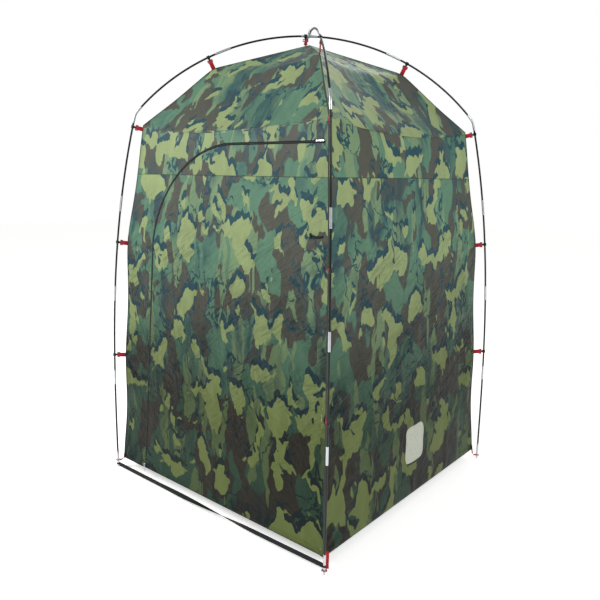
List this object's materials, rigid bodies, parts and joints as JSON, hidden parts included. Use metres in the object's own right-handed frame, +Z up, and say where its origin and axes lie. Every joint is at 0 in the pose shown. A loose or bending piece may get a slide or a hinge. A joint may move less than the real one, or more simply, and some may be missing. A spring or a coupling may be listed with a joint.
{
  "type": "privacy shower tent",
  "caption": "Square hung privacy tent with a domed roof, a zipped side-hinged door and two crossed shock-corded arch poles outside it.",
  "frame": {"origin": "centre of the square through the four pole feet, on the ground", "axes": "+Z up; the door wall faces -Y; +X is to the right of someone facing the door from outside"},
  "size_m": [1.219, 1.219, 1.9053],
  "materials": {
    "pole": "glossy black pultruded fibreglass",
    "shock_cord": "white braided elastic",
    "hook": "moulded nylon",
    "binding": "red polyester webbing",
    "canopy": "printed camouflage polyester taffeta, slight sheen",
    "strap": "black polypropylene webbing",
    "zip_coil": "nylon coil on woven tape",
    "bright_metal": "bright nickel plate"
  },
  "bodies": {
    "root": {"pole_a_section_01": "pole", "pole_a_section_02": "pole", "pole_a_section_03": "pole", "pole_a_section_04": "pole", "pole_a_section_05": "pole", "pole_a_section_06": "pole", "pole_a_section_07": "pole", "pole_a_section_08": "pole", "pole_a_section_09": "pole", "pole_a_section_10": "pole", "pole_a_section_11": "pole", "pole_a_section_12": "pole", "pole_b_section_01": "pole", "pole_b_section_02": "pole", "pole_b_section_03": "pole", "pole_b_section_04": "pole", "pole_b_section_05": "pole", "pole_b_section_06": "pole", "pole_b_section_07": "pole", "pole_b_section_08": "pole", "pole_b_section_09": "pole", "pole_b_section_10": "pole", "pole_b_section_11": "pole", "pole_b_section_12": "pole", "shock_cord_a": "shock_cord", "shock_cord_b": "shock_cord", "hook_front_left_1": "hook", "hook_front_left_2": "hook", "hook_front_left_3": "hook", "hook_front_left_4": "hook", "hook_front_right_1": "hook", "hook_front_right_2": "hook", "hook_front_right_3": "hook", "hook_front_right_4": "hook", "hook_rear_right_1": "hook", "hook_rear_right_2": "hook", "hook_rear_right_3": "hook", "hook_rear_right_4": "hook", "hook_rear_left_1": "hook", "hook_rear_left_2": "hook", "hook_rear_left_3": "hook", "hook_rear_left_4": "hook", "hook_apex": "hook", "corner_binding_a": "binding", "corner_binding_b_front": "binding", "corner_binding_b_rear": "binding", "front_wall": "canopy", "right_wall": "canopy", "rear_wall": "canopy", "left_wall": "canopy", "roof": "canopy", "zip_coil_wall_side": "zip_coil", "threshold_strap": "strap"},
    "door": {"door_panel": "canopy", "zip_coil_door_side": "zip_coil", "door_tie": "strap"},
    "slider_bottom": {"zip_slider_bottom": "bright_metal"},
    "pull_bottom": {"zip_pull_bottom": "bright_metal"},
    "slider_top": {"zip_slider_top": "bright_metal"},
    "pull_top": {"zip_pull_top": "bright_metal"}
  },
  "joints": [
    {"name": "door_hinge", "type": "hinge", "parent": "root", "child": "door", "pos_m": [0.56258, -0.58083, 0.04504], "axis": [-0.0365, 0.0365, 0.9987], "range_deg": [0, 120]},
    {"name": "zip_bottom_slide", "type": "slide", "parent": "root", "child": "slider_bottom", "axis": [0.0558, 0.0365, 0.9978], "range_m": [0, 0.95]},
    {"name": "zip_bottom_pull", "type": "hinge", "parent": "slider_bottom", "child": "pull_bottom", "pos_m": [-0.42407, -0.58297, 0.06029], "axis": [-0.9984, 0.002, 0.0558], "range_deg": [0, 160]},
    {"name": "zip_top_slide", "type": "slide", "parent": "root", "child": "slider_top", "axis": [-1, 0, 0], "range_m": [0, 0.385]},
    {"name": "zip_top_pull", "type": "hinge", "parent": "slider_top", "child": "pull_top", "pos_m": [0.452, -0.49948, 1.43823], "axis": [0, -0.121, -0.9927], "range_deg": [0, 160]}
  ]
}
